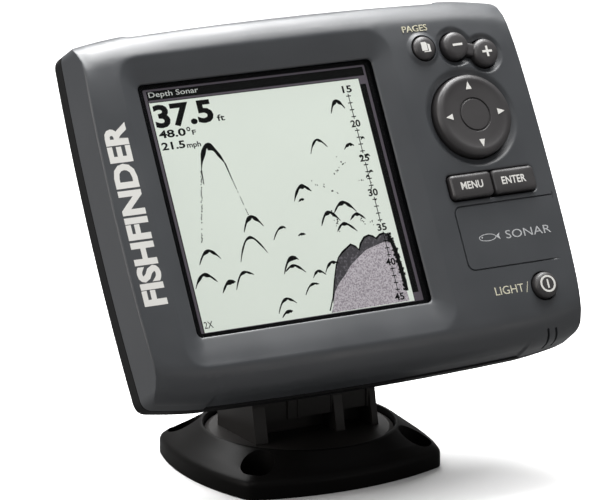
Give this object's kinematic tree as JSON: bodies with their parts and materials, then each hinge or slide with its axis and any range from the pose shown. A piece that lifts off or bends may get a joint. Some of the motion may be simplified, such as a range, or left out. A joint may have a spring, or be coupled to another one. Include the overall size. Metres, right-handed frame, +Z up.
{
  "type": "fish finder",
  "caption": "Marine fish finder: square sonar screen and keypad in a sealed case that tilts on a ratchet head above a screw-down swivel base.",
  "frame": {"origin": "centre of the four mounting holes, on the base's underside", "axes": "+Z up from the mounting surface, +X to the viewer's right across the screen, -Y towards the viewer"},
  "size_m": [0.175, 0.099, 0.1597],
  "materials": {
    "base_plate": "fine moulded texture, satin edges",
    "swivel_bracket": "fine moulded texture",
    "swivel_washer": "plain stainless",
    "swivel_screw": "plain stainless",
    "release_spring": "drawn spring wire",
    "release_button": "fine moulded texture",
    "release_pawl": "moulded nylon",
    "front_case": "satin painted slate grey",
    "rear_case": "fine moulded texture",
    "case_seal": "matt",
    "case_screws": "plain stainless",
    "tilt_pin": "plain stainless",
    "pin_clip": "plain stainless",
    "tilt_ratchet": "moulded nylon",
    "window_lens": "clear hard coated",
    "window_seal": "matt",
    "lcd_panel": "pale grey green display",
    "lcd_frame": "thin pressed steel",
    "backlight": "clear light guide",
    "lcd_ribbon": "amber film",
    "main_board": "green solder mask",
    "board_screws": "plain",
    "processor_chips": "moulded epoxy",
    "shield_can": "tinned steel",
    "sonar_transformer": "ferrite",
    "capacitors": "sleeved",
    "sounder": "moulded",
    "keypad_board": "green solder mask",
    "keypad_mat": "silicone",
    "keypad_ribbon": "amber film",
    "cable_socket": "moulded nylon",
    "socket_pins": "gold flashed",
    "socket_seal": "matt",
    "socket_nut": "plain",
    "socket_wires": "insulated",
    "pages_key": "satin silicone, pale printed legends",
    "zoom_key": "satin silicone, pale printed legends",
    "menu_key": "satin silicone, pale printed legends",
    "enter_key": "satin silicone, pale printed legends",
    "power_key": "satin silicone, pale printed legends",
    "arrow_yoke": "moulded nylon",
    "arrow_cross": "moulded nylon",
    "arrow_pad": "satin silicone, pale printed legends"
  },
  "bodies": {
    "base": {"base_plate": "base_plate"},
    "swivel": {"swivel_bracket": "swivel_bracket", "swivel_washer": "swivel_washer", "swivel_screw": "swivel_screw", "release_spring": "release_spring"},
    "release": {"release_button": "release_button", "release_pawl": "release_pawl"},
    "unit": {"front_case": "front_case", "rear_case": "rear_case", "case_seal": "case_seal", "case_screws": "case_screws", "tilt_pin": "tilt_pin", "pin_clip": "pin_clip", "tilt_ratchet": "tilt_ratchet", "window_lens": "window_lens", "window_seal": "window_seal", "lcd_panel": "lcd_panel", "lcd_frame": "lcd_frame", "backlight": "backlight", "lcd_ribbon": "lcd_ribbon", "main_board": "main_board", "board_screws": "board_screws", "processor_chips": "processor_chips", "shield_can": "shield_can", "sonar_transformer": "sonar_transformer", "capacitors": "capacitors", "sounder": "sounder", "keypad_board": "keypad_board", "keypad_mat": "keypad_mat", "keypad_ribbon": "keypad_ribbon", "cable_socket": "cable_socket", "socket_pins": "socket_pins", "socket_seal": "socket_seal", "socket_nut": "socket_nut", "socket_wires": "socket_wires", "arrow_yoke": "arrow_yoke"},
    "pages": {"pages_key": "pages_key"},
    "zoom": {"zoom_key": "zoom_key"},
    "menu": {"menu_key": "menu_key"},
    "enter": {"enter_key": "enter_key"},
    "power": {"power_key": "power_key"},
    "arrow_cross": {"arrow_cross": "arrow_cross"},
    "arrows": {"arrow_pad": "arrow_pad"}
  },
  "joints": [
    {"name": "base_swivel", "type": "hinge", "parent": "base", "child": "swivel", "pos_m": [0, 0, 0.012], "axis": [0, 0, 1], "range_deg": [-90, 90]},
    {"name": "unit_tilt", "type": "hinge", "parent": "swivel", "child": "unit", "pos_m": [0, 0.001, 0.037], "axis": [-1, 0, 0], "range_deg": [-28.6, 31.4]},
    {"name": "release_press", "type": "slide", "parent": "swivel", "child": "release", "axis": [0, 1, 0], "range_m": [0, 0.003], "stiffness_N_per_m": 900},
    {"name": "pages_press", "type": "slide", "parent": "unit", "child": "pages", "axis": [0, 0.878, -0.4787], "range_m": [0, 0.0009], "stiffness_N_per_m": 900},
    {"name": "zoom_rock", "type": "hinge", "parent": "unit", "child": "zoom", "pos_m": [0.06635, -0.00327, 0.14303], "axis": [0.3063, 0.4557, 0.8358], "range_deg": [-3.5, 3.5], "stiffness_Nm_per_rad": 0.1},
    {"name": "menu_press", "type": "slide", "parent": "unit", "child": "menu", "axis": [0, 0.878, -0.4787], "range_m": [0, 0.0009], "stiffness_N_per_m": 900},
    {"name": "enter_press", "type": "slide", "parent": "unit", "child": "enter", "axis": [0, 0.878, -0.4787], "range_m": [0, 0.0009], "stiffness_N_per_m": 900},
    {"name": "power_press", "type": "slide", "parent": "unit", "child": "power", "axis": [0, 0.878, -0.4787], "range_m": [0, 0.0009], "stiffness_N_per_m": 900},
    {"name": "arrows_rock_up_down", "type": "hinge", "parent": "unit", "child": "arrow_cross", "pos_m": [0.0603, -0.01537, 0.12167], "axis": [1, 0, 0], "range_deg": [-3, 3], "stiffness_Nm_per_rad": 0.3},
    {"name": "arrows_rock_left_right", "type": "hinge", "parent": "arrow_cross", "child": "arrows", "pos_m": [0.0603, -0.01537, 0.12167], "axis": [0, 0.4787, 0.878], "range_deg": [-3, 3], "stiffness_Nm_per_rad": 0.3}
  ]
}
